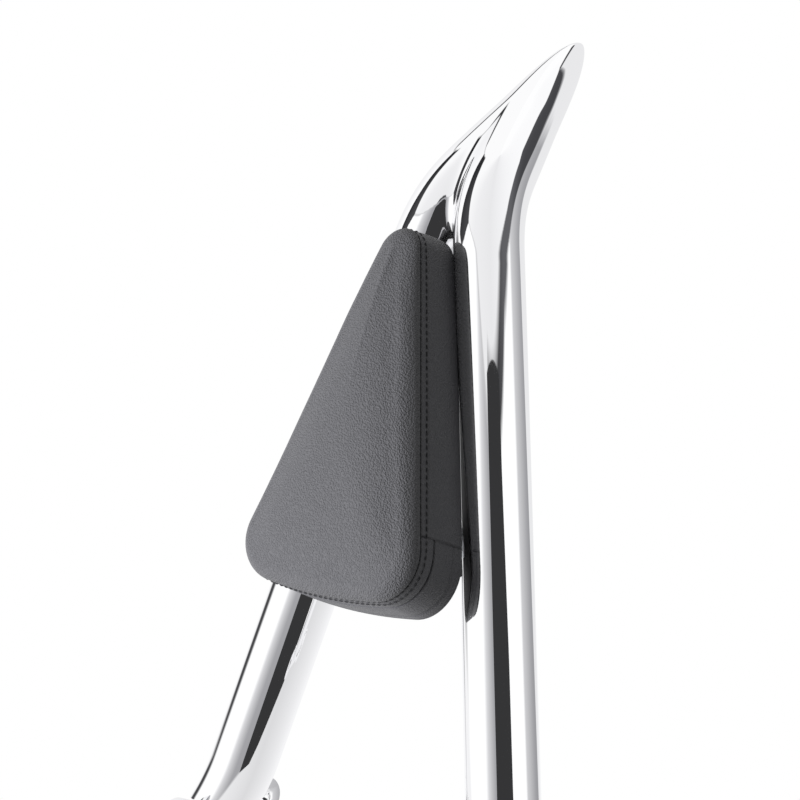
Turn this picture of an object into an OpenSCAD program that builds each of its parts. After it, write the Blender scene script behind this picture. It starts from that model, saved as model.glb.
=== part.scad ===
// Sissy bar for a motorbike: a chromed A-shaped bar with a swept spear tip
// and a triangular back pad. X is across the bike, -Y faces the rider, Z is up.
// The origin is on the axis of the two rear foot bolts, midway between the feet.

/* [Legs] */
// Outer diameter of the leg tubes
tube_d = 44.5; // [38:0.5:45.5]
// Lean of the straight legs to the rear, in degrees
leg_lean = 13.5; // [12:0.5:15]
// Splay of each leg from the middle plane, as run over rise
leg_splay = 0.253; // [0.251:0.001:0.268]
// Length of a leg along the path, from its lower end to the start of the sweep
leg_len = 369; // [340:1:390]
// Length of the curved stretch at a leg's lower end
foot_curve_len = 33; // [15:1:45]
// Forward bend of the lower end, in degrees
foot_bend = 4.8; // [0:0.2:10]
// Outward flare of the lower end
foot_flare = 3.9; // [0:0.1:6]

/* [Spear tip] */
// Length of the stretch in which the bar sweeps to the rear
sweep_len = 75; // [74:1:90]
// Angle of the sweep, in degrees
sweep_angle = 33.8; // [25:0.2:40]
// Length of the straight spear after the sweep
spear_len = 119; // [118:1:125]
// Radius of the weld fillet in the crotch, as a share of the tube's radius
crotch_fillet = 0.15; // [0.08:0.01:0.25]

/* [Feet] */
// Distance between a foot's two bolt holes
bolt_spacing = 70; // [66:1:90]
// Diameter of the bolt holes
bolt_hole_d = 9; // [8.4:0.1:11]
// Thickness of the foot plates
foot_plate_t = 8; // [5:0.5:10]
// Radius of the plate round each bolt hole
foot_lug_r = 14; // [12:0.5:16]
// Height of the plate between the lugs
foot_neck_h = 16; // [13:1:18]

/* [Pad] */
// Width of the pad across its lower corners
pad_w = 148; // [140:1:149]
// Height of the pad
pad_h = 232; // [220:1:233]
// Thickness of the pad at its lower edge, from the crown to the back
pad_t = 52; // [49:0.5:56]
// Taper of the pad from its lower edge up, in degrees
pad_wedge = 1.6; // [1:0.1:2.2]
// Radius of the two lower corners
pad_corner_r = 30; // [24:1:35]
// Radius of the top
pad_top_r = 17; // [16.5:0.5:18]
// Bulge of the lower edge
pad_bulge = 2.5; // [1:0.5:5]
// Lean of the pad to the rear, in degrees
pad_lean = 18.6; // [17.8:0.1:19.2]
// Drop from the start of the bar's sweep to the pad's lower edge
pad_drop = 196.6; // [195:0.2:204]
// Depth that the pad's back sinks between the legs, where their sweep starts
pad_nest = 5.7; // [4:0.1:5.9]

/* [Pad build] */
// Thickness of the leather
leather_t = 1.2; // [0.8:0.1:1.6]
// Depth of the rounded border, from the crown to the front seam
border_d = 15; // [11:0.5:17]
// Height of the cross seams over the pad's lower edge
cross_seam_h = 46; // [40:1:54]
// Width of the leather turned over the board
turn_w = 13; // [10:1:16]
// Thickness of the backing board
board_t = 9; // [8:0.5:12]
// Thickness of the rear panel
rear_panel_t = 1.5; // [1:0.1:2.5]
// Clearance round loose and soft pieces
clear = 0.3; // [0.2:0.05:0.5]

/* [Pad fixing] */
// Height of the two lower screws over the pad's lower edge
low_screw_v = 45; // [38:1:56]
// Distance between the two lower screws
low_screw_gap = 64; // [50:2:72]
// Height of the upper screw over the pad's lower edge
top_screw_v = 160; // [150:1:168]
// Thickness of the two welded straps
strap_t = 6; // [4:0.5:8]
// Height of the welded straps
strap_h = 30; // [24:1:36]
// Length of the upper spacer, between the pad's back and the upper strap
top_spacer_len = 2.6; // [2:0.1:4]
// Diameter of the screws
screw_d = 6; // [5:0.5:6]

/* [Hidden] */

// The bar's path in the middle plane, from the lower end of the legs to the tip
path_len = leg_len + sweep_len + spear_len;
path_step = 2;
// The legs' lower end: its middle near the plate's, its rim inside the plate
leg_end_y = -bolt_spacing / 2 + 1.5;
leg_end_z = 2;
tube_r = tube_d / 2;
leg_rx = tube_r * sqrt(1 + pow(leg_splay, 2));
tip_half_w = 3.7;
leg_half_gap = tip_half_w - leg_rx + leg_splay * path_len;

function clamp01(v) = max(0, min(1, v));
function ease(v) = let(u = clamp01(v)) u * u * (3 - 2 * u);
function foot_share(s) = clamp01(1 - s / foot_curve_len);
function lean_at(s) = leg_lean + foot_bend * foot_share(s)
  + sweep_angle * ease((s - leg_len) / sweep_len);
path_y = [for (s = 0, y = leg_end_y; s <= path_len + path_step;
  y = y + path_step * sin(lean_at(s + path_step / 2)), s = s + path_step) [s, y]];
path_z = [for (s = 0, z = leg_end_z; s <= path_len + path_step;
  z = z + path_step * cos(lean_at(s + path_step / 2)), s = s + path_step) [s, z]];

// Half distance between the two tube centres, easing to nothing in the spear
merge_soft = 1;
function centre_line(s) = leg_half_gap - leg_splay * s
  + foot_flare * pow(foot_share(s), 2);
function half_gap(s) = let(c = centre_line(s)) (c + sqrt(c * c + 4 * pow(merge_soft, 2))) / 2;
// Falls from 1 to 0 over the path's last stretch, as a rounded end does
function end_round(s, stretch, fullness, roundness) =
  let(u = clamp01((s - path_len + stretch) / stretch))
  pow(1 - pow(u, fullness), 1 / roundness);
// Outer half width, straight sided up to the rounded tip
function half_width(s) = (centre_line(s) + leg_rx) * end_round(s, 60, 6, 2.2);
// Half depth from front to rear, round in the legs and full up to the tip
depth_lead = 63;
function half_depth(s) =
  tube_r * end_round(s, path_len - leg_len + depth_lead, 5, 1.8);

// The station at which the two tubes meet
crotch_s = (leg_half_gap - leg_rx * sqrt(1 + 2 * crotch_fillet)) / leg_splay;
// Stations of the sections: far apart in the straight legs and close together in
// the bend, round the crotch and at the tip
station_step = 6;
bend_s = leg_len - 20;
foot_stations = [for (i = [0:4]) foot_curve_len * i / 4];
leg_stations = [for (i = [1:6]) foot_curve_len + (bend_s - foot_curve_len) * i / 7];
bend_stations = [for (s = [bend_s:station_step:crotch_s - 8]) s];
crotch_stations = [for (d = [-5, -2.4, 0, 2, 5]) crotch_s + d];
spear_stations = [for (s = crotch_s + 10; s < path_len - 14; s = s + station_step) s];
tip_stations = [for (d = [12, 9, 6, 4, 2.2, 1, 0.3]) path_len - d];
stations = concat(foot_stations, leg_stations, bend_stations, crotch_stations,
  spear_stations, tip_stations);
crotch_i = len(foot_stations) + len(leg_stations) + len(bend_stations) + 2;
fillet_growth = 0.01;
thinnest = 0.02;
ring_n = 28;

// Point of a section at share q of the way from the crotch side (0) to the
// outermost point (1). c is the centre and f the fillet, both in tube radii.
function section_pt(q, c, f, joined) =
  let(
    h = joined ? sqrt(max(pow(1 + f, 2) - c * c, f * f)) : 0,
    turn = joined ? acos(-c / (1 + f)) : 180,
    fillet_len = joined ? f * (90 - atan2(h, c)) : 0,
    d = q * (fillet_len + turn))
  d < fillet_len
    ? [f * cos(d / f - 90), h + f * sin(d / f - 90)]
    : let(a = turn - (d - fillet_len)) [c + cos(a), sin(a)];

// A point of ring i: k runs from the crotch side round the front, the outside
// and the rear, back to the crotch side
function bar_pt(i, k, side) =
  let(
    s = stations[i],
    c = half_gap(s),
    rx = max(half_width(s) - c, thinnest),
    rw = max(half_depth(s), thinnest),
    c_r = c / rx,
    s_c = stations[crotch_i],
    first_fillet = (pow(half_gap(s_c) / (half_width(s_c) - half_gap(s_c)), 2) - 1) / 2,
    f = first_fillet + max(0, s - s_c) * fillet_growth,
    front = k <= ring_n / 2,
    q = front ? k / (ring_n / 2) : (ring_n - k) / (ring_n / 2),
    p = section_pt(q, c_r, f, i >= crotch_i),
    w = (front ? -1 : 1) * p[1] * rw,
    lean = lean_at(s))
  [side * p[0] * rx, lookup(s, path_y) + w * cos(lean), lookup(s, path_z) - w * sin(lean)];

bar_points = [for (i = [0:len(stations) - 1], side = [1, -1], k = [0:ring_n])
  bar_pt(i, k, side)];
// Below the crotch a ring closes on itself, above it both sides share the middle
function bar_id(i, k, half) =
  let(
    kk = k == ring_n && i <= crotch_i ? 0 : k,
    hh = i >= crotch_i && (kk == 0 || kk == ring_n) ? 0 : half)
  (i * 2 + hh) * (ring_n + 1) + kk;
function bar_quad(i, k, half) =
  let(a = bar_id(i, k, half), b = bar_id(i, k + 1, half),
    c = bar_id(i + 1, k + 1, half), d = bar_id(i + 1, k, half))
  half == 0 ? [[a, c, b], [a, d, c]] : [[a, b, c], [a, c, d]];
last_ring = len(stations) - 1;
bar_faces = concat(
  [for (i = [0:last_ring - 1], k = [0:ring_n - 1], half = [0, 1], t = bar_quad(i, k, half)) t],
  [[for (k = [0:ring_n - 1]) bar_id(0, k, 0)]],
  [[for (k = [ring_n - 1:-1:0]) bar_id(0, k, 1)]],
  [concat([for (k = [0:ring_n]) bar_id(last_ring, k, 1)],
    [for (k = [ring_n - 1:-1:1]) bar_id(last_ring, k, 0)])]);

foot_x = half_gap(0);

// The right foot's plate, drilled for two bolts across the bike
module foot_plate() {
  translate([foot_x - foot_plate_t / 2, 0, 0])
    rotate([90, 0, 90])
      difference() {
        linear_extrude(foot_plate_t)
          union() {
            circle(r = foot_lug_r, $fn = 64);
            translate([-bolt_spacing, 0])
              circle(r = foot_lug_r, $fn = 64);
            translate([-bolt_spacing, -foot_neck_h / 2])
              square([bolt_spacing, foot_neck_h]);
          }
        for (y = [0, -bolt_spacing])
          translate([y, 0, -1])
            cylinder(d = bolt_hole_d, h = foot_plate_t + 2, $fn = 48);
      }
}

// Cuts the right leg's end flush with the plate's inner face, as a seat for the
// bike's strut, with a flat round each bolt hole
module strut_seat() {
  over = 0.5;
  translate([foot_x - foot_plate_t / 2, 0, 0])
    rotate([0, -90, 0])
      union() {
        translate([-2 * foot_lug_r, -bolt_spacing, 0])
          cube([2 * foot_lug_r + foot_neck_h / 2 + over, bolt_spacing, tube_d]);
        for (y = [0, -bolt_spacing])
          translate([0, y, 0])
            cylinder(r = foot_lug_r + over, h = tube_d, $fn = 64);
      }
}

module bar() {
  color("silver")
    union() {
      difference() {
        polyhedron(points = bar_points, faces = bar_faces, convexity = 6);
        for (m = [0, 1])
          mirror([m, 0, 0])
            strut_seat();
      }
      for (m = [0, 1])
        mirror([m, 0, 0])
          foot_plate();
      in_back_frame() {
        strap(low_screw_v, [-low_screw_gap / 2, low_screw_gap / 2]);
        strap(top_screw_v, [0]);
      }
    }
}

// The pad's place: its back lies pad_nest behind the front of the legs where
// their sweep starts
back_lean = pad_lean - pad_wedge;
nest_y = lookup(leg_len, path_y) - tube_r * cos(leg_lean);
nest_z = lookup(leg_len, path_z) + tube_r * sin(leg_lean);
pad_z = nest_z - pad_drop;
pad_y = nest_y - ((pad_t - pad_nest) * cos(pad_wedge) + pad_drop * sin(back_lean))
  / cos(back_lean);
back_y = pad_y + pad_t * cos(pad_lean);
back_z = pad_z - pad_t * sin(pad_lean);
nest_v = (nest_y - back_y) * sin(back_lean) + (nest_z - back_z) * cos(back_lean);
// Distance of a strap from the pad's back, and station of the legs, at a height
// up the back
function strap_gap(v) = top_spacer_len + (top_screw_v - v) * tan(back_lean - leg_lean);
function strap_s(v) = leg_len - (nest_v - v) / cos(back_lean - leg_lean);

// The pad's own frame: X across, Y from the crown to the back, Z up its face
module in_pad_frame() {
  translate([0, pad_y, pad_z])
    rotate([-pad_lean, 0, 0])
      children();
}

// The frame of the pad's back: Y is 0 on it and negative inside the pad
module in_back_frame() {
  translate([0, back_y, back_z])
    rotate([-back_lean, 0, 0])
      children();
}

screw_hole_d = screw_d + 0.6;

// A flat strap welded between the legs' middles, bored for the pad's screws
module strap(v, holes) {
  reach = half_gap(strap_s(v));
  difference() {
    translate([-reach, strap_gap(v), v - strap_h / 2])
      cube([2 * reach, strap_t, strap_h]);
    for (x = holes)
      translate([x, strap_gap(v) - 1, v])
        along_back(strap_t + 2)
          circle(d = screw_hole_d, $fn = 48);
  }
}

// Extrudes a flat shape from the pad's front to its back
module along_back(h) {
  translate([0, h, 0])
    rotate([90, 0, 0])
      linear_extrude(h)
        children();
}

// The pad's outline: three round corners, straight sides and a bowed lower edge
corner_x = pad_w / 2 - pad_corner_r;
side_run = pad_h - pad_top_r - pad_corner_r;
side_turn = atan2(corner_x, side_run)
  + asin((pad_corner_r - pad_top_r) / norm([corner_x, side_run]));
bow_z = pad_corner_r + (pow(corner_x, 2) - pow(pad_bulge, 2)) / (2 * pad_bulge);
bow_r = bow_z + pad_bulge;
bow_turn = atan2(corner_x, bow_z - pad_corner_r);
corner_n = 10;
bow_n = 8;
function arc_pts(x, z, r, a0, a1, n) =
  [for (i = [0:n]) let(a = a0 + (a1 - a0) * i / n) [x + r * cos(a), z + r * sin(a)]];
function without_ends(v) = [for (i = [1:len(v) - 2]) v[i]];
function pad_outline(inset) = concat(
  arc_pts(corner_x, pad_corner_r, pad_corner_r - inset, bow_turn - 90, side_turn, corner_n),
  arc_pts(0, pad_h - pad_top_r, pad_top_r - inset, side_turn, 180 - side_turn, corner_n),
  arc_pts(-corner_x, pad_corner_r, pad_corner_r - inset, 180 - side_turn, 270 - bow_turn, corner_n),
  without_ends(arc_pts(0, bow_z, bow_r - inset, 270 - bow_turn, 270 + bow_turn, bow_n)));

// The pad's outline from depth w0 back, cut off at depth e of the back's frame
module slab(inset, w0, e) {
  intersection() {
    in_pad_frame()
      translate([0, w0, 0])
        along_back(2 * pad_t)
          polygon(pad_outline(inset));
    in_back_frame()
      translate([-pad_w, e - 2 * pad_t, -pad_h])
        cube([2 * pad_w, 2 * pad_t, 3 * pad_h]);
  }
}

// The pad's outline between depths e0 and e1 of the back's frame
module back_slab(inset, e0, e1) {
  intersection() {
    in_pad_frame()
      along_back(2 * pad_t)
        polygon(pad_outline(inset));
    in_back_frame()
      translate([-pad_w, e0, -pad_h])
        cube([2 * pad_w, e1 - e0, 3 * pad_h]);
  }
}

// The crown: depth of the front surface at a distance from the outline
crown_rise = 1.6;
crown_reach = 16;
crown_insets = [0, 0.7, 2, 4, 6.6, 9.6, 13, 16];
function crown_depth(d) =
  let(u = clamp01(d / crown_reach))
  crown_rise + (border_d - crown_rise) * (1 - sqrt(1 - pow(1 - u, 2)));
pad_middle = [0, pad_h * 0.42];
middle_share = 0.35;
// Rings of the crowned surface, from the edge in, with a wall t below the skin
function crown_ring(d, t) =
  [for (p = pad_outline(d + t)) [p[0], min(crown_depth(d) + t, border_d), p[1]]];
function middle_ring(t) =
  [for (p = pad_outline(crown_insets[len(crown_insets) - 1] + t))
    [p[0] * middle_share, t, pad_middle[1] + (p[1] - pad_middle[1]) * middle_share]];
function outer_rings(t) = concat([for (d = crown_insets) crown_ring(d, t)], [middle_ring(t)]);

// A closed solid through a list of rings that have the same number of points
module loft(rings) {
  n = len(rings[0]);
  last = len(rings) - 1;
  polyhedron(
    points = [for (r = rings, p = r) p],
    faces = concat(
      [for (i = [0:last - 1], k = [0:n - 1]) let(j = (k + 1) % n)
        [i * n + k, (i + 1) * n + j, i * n + j]],
      [for (i = [0:last - 1], k = [0:n - 1]) let(j = (k + 1) % n)
        [i * n + k, (i + 1) * n + k, (i + 1) * n + j]],
      [[for (k = [0:n - 1]) k]],
      [[for (k = [n - 1:-1:0]) last * n + k]]),
    convexity = 4);
}

function reversed(v) = [for (i = [len(v) - 1:-1:0]) v[i]];

module cover_face() {
  color("dimgray")
    in_pad_frame()
      loft(concat(reversed(outer_rings(leather_t)), outer_rings(0)));
}

// Depths in the frame of the pad's back
rim_e = -rear_panel_t;
board_back_e = rim_e - leather_t;
board_front_e = board_back_e - board_t;

// The side band with its turned edge behind the board
module cover_band() {
  difference() {
    slab(0, border_d, rim_e);
    slab(leather_t, border_d - 1, board_back_e);
    back_slab(turn_w, board_back_e - 1, rim_e + 1);
  }
}

module below_cross_seam() {
  in_pad_frame()
    translate([-pad_w, 0, -pad_h])
      cube([2 * pad_w, 2 * pad_t, pad_h + cross_seam_h]);
}

module cover_gusset() {
  color("dimgray")
    difference() {
      cover_band();
      below_cross_seam();
    }
}

module cover_bottom() {
  color("dimgray")
    intersection() {
      cover_band();
      below_cross_seam();
    }
}

// The foam's flat back lies on the board
function foam_back(v) = pad_t + board_front_e / cos(pad_wedge) - v * tan(pad_wedge);

module foam_core() {
  t = leather_t + clear;
  color("khaki")
    in_pad_frame()
      loft(concat(
        [[for (p = pad_outline(t)) [p[0], foam_back(p[1]), p[1]]]],
        [for (d = crown_insets) [for (p = pad_outline(d + t)) [p[0], crown_depth(d) + t, p[1]]]],
        [[for (p = middle_ring(t)) [p[0], t + 0.1, p[2]]]]));
}

screw_places = [[-low_screw_gap / 2, low_screw_v], [low_screw_gap / 2, low_screw_v],
  [0, top_screw_v]];
nut_flange_d = 20;
nut_flange_t = 1.2;
nut_barrel_d = 8.4;
nut_bore_d = screw_d + 0.2;
rear_panel_inset = 4;

// Places a turned piece, drawn up the Z axis, with its base at depth w
module at_screw(place, w) {
  translate([place[0], w, place[1]])
    rotate([-90, 0, 0])
      children();
}

module backing_board() {
  color("burlywood")
    difference() {
      back_slab(leather_t + clear, board_front_e, board_back_e);
      in_back_frame()
        for (p = screw_places) {
          at_screw(p, board_front_e - 1)
            cylinder(d = nut_barrel_d + 2 * clear, h = board_t + 2, $fn = 48);
          at_screw(p, board_front_e - 1)
            cylinder(d = nut_flange_d + 2 * clear, h = nut_flange_t + 1, $fn = 48);
        }
    }
}

module rear_panel() {
  color("black")
    difference() {
      back_slab(rear_panel_inset, rim_e, 0);
      in_back_frame()
        for (p = screw_places)
          at_screw(p, rim_e - 1)
            cylinder(d = screw_hole_d, h = rear_panel_t + 2, $fn = 48);
    }
}

module tee_nuts() {
  color("gold")
    in_back_frame()
      for (p = screw_places)
        at_screw(p, board_front_e)
          difference() {
            union() {
              cylinder(d = nut_flange_d, h = nut_flange_t, $fn = 48);
              cylinder(d = nut_barrel_d, h = board_t - 0.5, $fn = 48);
            }
            translate([0, 0, -1])
              cylinder(d = nut_bore_d, h = board_t + 2, $fn = 48);
          }
}

module spacers() {
  color("silver")
    in_back_frame()
      for (p = screw_places) {
        spacer_len = strap_gap(p[1]);
        at_screw(p, 0)
          difference() {
            cylinder(d = screw_d + 8, h = spacer_len, $fn = 48);
            translate([0, 0, -1])
              cylinder(d = screw_hole_d, h = spacer_len + 2, $fn = 48);
          }
      }
}

flat_washer_t = 1.6;
lock_washer_t = 1.5;
function strap_back(p) = strap_gap(p[1]) + strap_t;

module washer(outer_d, t) {
  difference() {
    cylinder(d = outer_d, h = t, $fn = 48);
    translate([0, 0, -1])
      cylinder(d = screw_d + 0.4, h = t + 2, $fn = 48);
  }
}

module flat_washers() {
  color("silver")
    in_back_frame()
      for (p = screw_places)
        at_screw(p, strap_back(p))
          washer(2 * screw_d, flat_washer_t);
}

module lock_washers() {
  color("silver")
    in_back_frame()
      for (p = screw_places)
        at_screw(p, strap_back(p) + flat_washer_t)
          difference() {
            washer(screw_d * 1.8, lock_washer_t);
            translate([0, -0.6, -1])
              cube([screw_d, 1.2, lock_washer_t + 2]);
          }
}

// Button-head screws that pass from behind the straps into the tee nuts
module pad_screws() {
  color("silver")
    in_back_frame()
      for (p = screw_places) {
        head_w = strap_back(p) + flat_washer_t + lock_washer_t;
        tip_w = board_front_e + 1;
        at_screw(p, tip_w)
          cylinder(d = screw_d, h = head_w - tip_w, $fn = 48);
        at_screw(p, head_w)
          difference() {
            rotate_extrude($fn = 48)
              polygon([[0, 0], [screw_d * 0.875, 0], [screw_d * 0.8, screw_d * 0.28],
                [screw_d * 0.55, screw_d * 0.48], [0, screw_d * 0.55]]);
            translate([0, 0, screw_d * 0.2])
              cylinder(d = screw_d * 0.7, h = screw_d, $fn = 6);
          }
      }
}

bar();
cover_face();
cover_gusset();
cover_bottom();
foam_core();
backing_board();
rear_panel();
tee_nuts();
spacers();
flat_washers();
lock_washers();
pad_screws();
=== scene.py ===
"""A motorbike's sissy bar: a chromed A-shaped bar with a swept spear tip, and a
triangular leather pad. The part's lengths are in millimetres up to the point where
a mesh is made, which turns them into metres. The studio's places are in metres."""

import math

import bmesh
import bpy
import numpy as np
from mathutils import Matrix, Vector
from mathutils.kdtree import KDTree


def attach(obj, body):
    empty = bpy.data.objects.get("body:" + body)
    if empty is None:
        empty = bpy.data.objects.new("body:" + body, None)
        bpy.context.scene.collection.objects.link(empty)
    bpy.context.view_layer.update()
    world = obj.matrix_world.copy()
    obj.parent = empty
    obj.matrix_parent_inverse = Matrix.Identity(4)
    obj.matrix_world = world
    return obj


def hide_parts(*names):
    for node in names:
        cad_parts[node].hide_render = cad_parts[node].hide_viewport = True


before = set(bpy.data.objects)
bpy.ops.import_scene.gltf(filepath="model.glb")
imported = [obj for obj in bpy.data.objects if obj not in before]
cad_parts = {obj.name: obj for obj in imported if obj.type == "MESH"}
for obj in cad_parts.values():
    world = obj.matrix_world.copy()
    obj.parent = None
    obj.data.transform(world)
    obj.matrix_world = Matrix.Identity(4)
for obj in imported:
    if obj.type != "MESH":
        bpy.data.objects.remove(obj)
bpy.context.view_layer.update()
PER_METRE = 1000

# The same sizes as in the CAD, in millimetres and degrees. The splay and the fillet
# are ratios.
TUBE_D = 44.5
LEG_LEAN = 13.5
LEG_SPLAY = 0.253
LEG_LEN = 369.0
FOOT_CURVE_LEN = 33.0
FOOT_BEND = 4.8
FOOT_FLARE = 3.9
SWEEP_LEN = 75.0
SWEEP_ANGLE = 33.8
SPEAR_LEN = 119.0
CROTCH_FILLET = 0.15
BOLT_SPACING = 70.0
BOLT_HOLE_D = 9.0
FOOT_PLATE_T = 8.0
FOOT_LUG_R = 14.0
FOOT_NECK_H = 16.0
PAD_W = 148.0
PAD_H = 232.0
PAD_T = 52.0
PAD_WEDGE = 1.6
PAD_CORNER_R = 30.0
PAD_TOP_R = 17.0
PAD_BULGE = 2.5
PAD_LEAN = 18.6
PAD_DROP = 196.6
PAD_NEST = 5.7
BORDER_D = 15.0
CROSS_SEAM_H = 46.0
TURN_W = 13.0
TOP_SPACER_LEN = 2.6
STRAP_T = 6.0
STRAP_H = 30.0
LOW_SCREW_V = 45.0
TOP_SCREW_V = 160.0
LOW_SCREW_GAP = 64.0
SCREW_HOLE_D = 6.6
REAR_PANEL_T = 1.5
# Where the legs' middle line starts: behind the middle between the bolts, and up
LEG_START_Y = 1.5
LEG_START_Z = 2.0

TUBE_R = TUBE_D / 2
PATH_LEN = LEG_LEN + SWEEP_LEN + SPEAR_LEN
LEG_RX = TUBE_R * math.sqrt(1 + LEG_SPLAY**2)
TIP_HALF_W = 3.7
LEG_HALF_GAP = TIP_HALF_W - LEG_RX + LEG_SPLAY * PATH_LEN


def clamp01(v):
    return max(0.0, min(1.0, v))


def ease(v):
    """A smooth step from 0 to 1."""
    u = clamp01(v)
    return u * u * (3 - 2 * u)


def to_object(name, verts, faces):
    """A smooth mesh object from points in millimetres."""
    mesh = bpy.data.meshes.new(name)
    mesh.from_pydata([tuple(c / PER_METRE for c in v) for v in verts], [], faces)
    mesh.validate()
    bm = bmesh.new()
    bm.from_mesh(mesh)
    bmesh.ops.recalc_face_normals(bm, faces=bm.faces)
    bm.to_mesh(mesh)
    bm.free()
    mesh.polygons.foreach_set("use_smooth", [True] * len(mesh.polygons))
    obj = bpy.data.objects.new(name, mesh)
    bpy.context.scene.collection.objects.link(obj)
    return obj


def sharpen(obj, degrees):
    """Edges that turn by more than this stay sharp."""
    bm = bmesh.new()
    bm.from_mesh(obj.data)
    for e in bm.edges:
        e.smooth = not (e.is_manifold and e.calc_face_angle(0) > math.radians(degrees))
    bm.to_mesh(obj.data)
    bm.free()


def linear(hexcode):
    """sRGB hex to linear colour."""
    out = []
    for i in (0, 2, 4):
        c = int(hexcode[i : i + 2], 16) / 255
        out.append(c / 12.92 if c <= 0.04045 else ((c + 0.055) / 1.055) ** 2.4)
    return (*out, 1.0)


def node(tree, kind, settings=None, **links):
    """Adds a node, sets its properties, then its inputs by name or index."""
    n = tree.nodes.new(kind)
    for key, value in (settings or {}).items():
        setattr(n, key, value)
    for key, value in links.items():
        socket = n.inputs[int(key[1:])] if key[0] == "i" and key[1:].isdigit() else n.inputs[key]
        if isinstance(value, bpy.types.NodeSocket):
            tree.links.new(value, socket)
        else:
            socket.default_value = value
    return n


def new_material(name):
    """A new material, its node tree and its shader."""
    mat = bpy.data.materials.new(name)
    mat.use_nodes = True
    tree = mat.node_tree
    return mat, tree, tree.nodes["Principled BSDF"]


def chrome_material():
    """Mirror-bright chrome plate: it gives the eye the studio's hard-edged bands."""
    mat, _, bsdf = new_material("chrome_plate")
    bsdf.inputs["Base Color"].default_value = linear("fbfbfc")
    bsdf.inputs["Metallic"].default_value = 1.0
    bsdf.inputs["Roughness"].default_value = 0.02
    return mat


# The leather's grain: how far its pebbles' borders bend, in metres, the distances from
# a pebble's middle between which it rounds off, and the pores' share of the relief
GRAIN_BEND = 0.0012
PEBBLE_TOP = 0.15
PEBBLE_FOOT = 0.75
PORE_SHARE = 0.5


def leather_material(name, tone, grain_mm, depth):
    """Black coated leather: fine flattened pebbles with a dull sheen, on which the
    side light draws every grain of the front. The depth is in millimetres."""
    mat, tree, bsdf = new_material(name)
    coords = node(tree, "ShaderNodeTexCoord").outputs["Object"]
    drift = node(tree, "ShaderNodeTexNoise", Vector=coords, Scale=350 / grain_mm, Detail=2.0)
    bent = node(tree, "ShaderNodeVectorMath", {"operation": "MULTIPLY_ADD"},
                i0=drift.outputs["Color"], i1=(GRAIN_BEND,) * 3, i2=coords)
    pebbles = node(tree, "ShaderNodeTexVoronoi", {"feature": "F1"},
                   Vector=bent.outputs[0], Scale=PER_METRE / grain_mm)
    flat = node(tree, "ShaderNodeMapRange", Value=pebbles.outputs["Distance"],
                **{"From Min": PEBBLE_TOP, "From Max": PEBBLE_FOOT, "To Min": 1.0,
                   "To Max": 0.0})
    pores = node(tree, "ShaderNodeTexNoise", Vector=coords, Scale=1500 / grain_mm, Detail=2.0)
    height = node(tree, "ShaderNodeMath", {"operation": "MULTIPLY_ADD"},
                  i0=pores.outputs["Fac"], i1=PORE_SHARE, i2=flat.outputs["Result"])
    bump = node(tree, "ShaderNodeBump", Height=height.outputs[0],
                Distance=depth / PER_METRE, Strength=1.0)
    bsdf.inputs["Base Color"].default_value = linear(tone)
    bsdf.inputs["Roughness"].default_value = 0.46
    tree.links.new(bump.outputs["Normal"], bsdf.inputs["Normal"])
    return mat


def plain_material(name, tone, metallic, roughness):
    """One even finish, for what lies behind the pad and for the thread."""
    mat, _, bsdf = new_material(name)
    bsdf.inputs["Base Color"].default_value = linear(tone)
    bsdf.inputs["Metallic"].default_value = metallic
    bsdf.inputs["Roughness"].default_value = roughness
    return mat


# The bar


def foot_share(s):
    """1 at the foot's end, 0 where its curve runs out into the straight leg."""
    return clamp01(1 - s / FOOT_CURVE_LEN)


def lean_at(s):
    """How far the path leans back at s along it."""
    return math.radians(
        LEG_LEAN + FOOT_BEND * foot_share(s) + SWEEP_ANGLE * ease((s - LEG_LEN) / SWEEP_LEN)
    )


PATH_STEP = 2.0
path_s = np.arange(0, PATH_LEN + 2 * PATH_STEP, PATH_STEP)
mid_lean = np.array([lean_at(s + PATH_STEP / 2) for s in path_s[:-1]])
path_y = LEG_START_Y - BOLT_SPACING / 2 + np.concatenate(
    [[0], np.cumsum(PATH_STEP * np.sin(mid_lean))])
path_z = LEG_START_Z + np.concatenate([[0], np.cumsum(PATH_STEP * np.cos(mid_lean))])


def path_at(s):
    """Depth and height of the path at s along it."""
    return float(np.interp(s, path_s, path_y)), float(np.interp(s, path_s, path_z))


def centre_line(s):
    """The splayed leg's middle from the part's middle, before the two legs meet."""
    return LEG_HALF_GAP - LEG_SPLAY * s + FOOT_FLARE * foot_share(s) ** 2


# How softly the legs' middle lines end at the part's middle, in square millimetres
GAP_SOFTNESS = 4
# The tip seen from the front: how long its rounded end is, and how full and blunt
TIP_ROUND_LEN = 60
TIP_FULLNESS = 6
TIP_BLUNTNESS = 2.2
# The depth from front to back: where it starts to fall before the sweep, and how
# full and blunt it ends
TAPER_LEAD = 63
DEPTH_FULLNESS = 5
DEPTH_BLUNTNESS = 1.8


def half_gap(s):
    """How far each side's middle lies from the part's middle, which is never crossed."""
    c = centre_line(s)
    return (c + math.sqrt(c * c + GAP_SOFTNESS)) / 2


def tip_round(s):
    u = clamp01((s - PATH_LEN + TIP_ROUND_LEN) / TIP_ROUND_LEN)
    return (1 - u**TIP_FULLNESS) ** (1 / TIP_BLUNTNESS)


def half_width(s):
    return (centre_line(s) + LEG_RX) * tip_round(s)


def half_depth(s):
    start = LEG_LEN - TAPER_LEAD
    u = clamp01((s - start) / (PATH_LEN - start))
    return TUBE_R * (1 - u**DEPTH_FULLNESS) ** (1 / DEPTH_BLUNTNESS)


CROTCH_S = (LEG_HALF_GAP - LEG_RX * math.sqrt(1 + 2 * CROTCH_FILLET)) / LEG_SPLAY


def first_fillet():
    """The fillet at which the two sides touch at the crotch."""
    c = half_gap(CROTCH_S)
    return ((c / (half_width(CROTCH_S) - c)) ** 2 - 1) / 2


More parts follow.
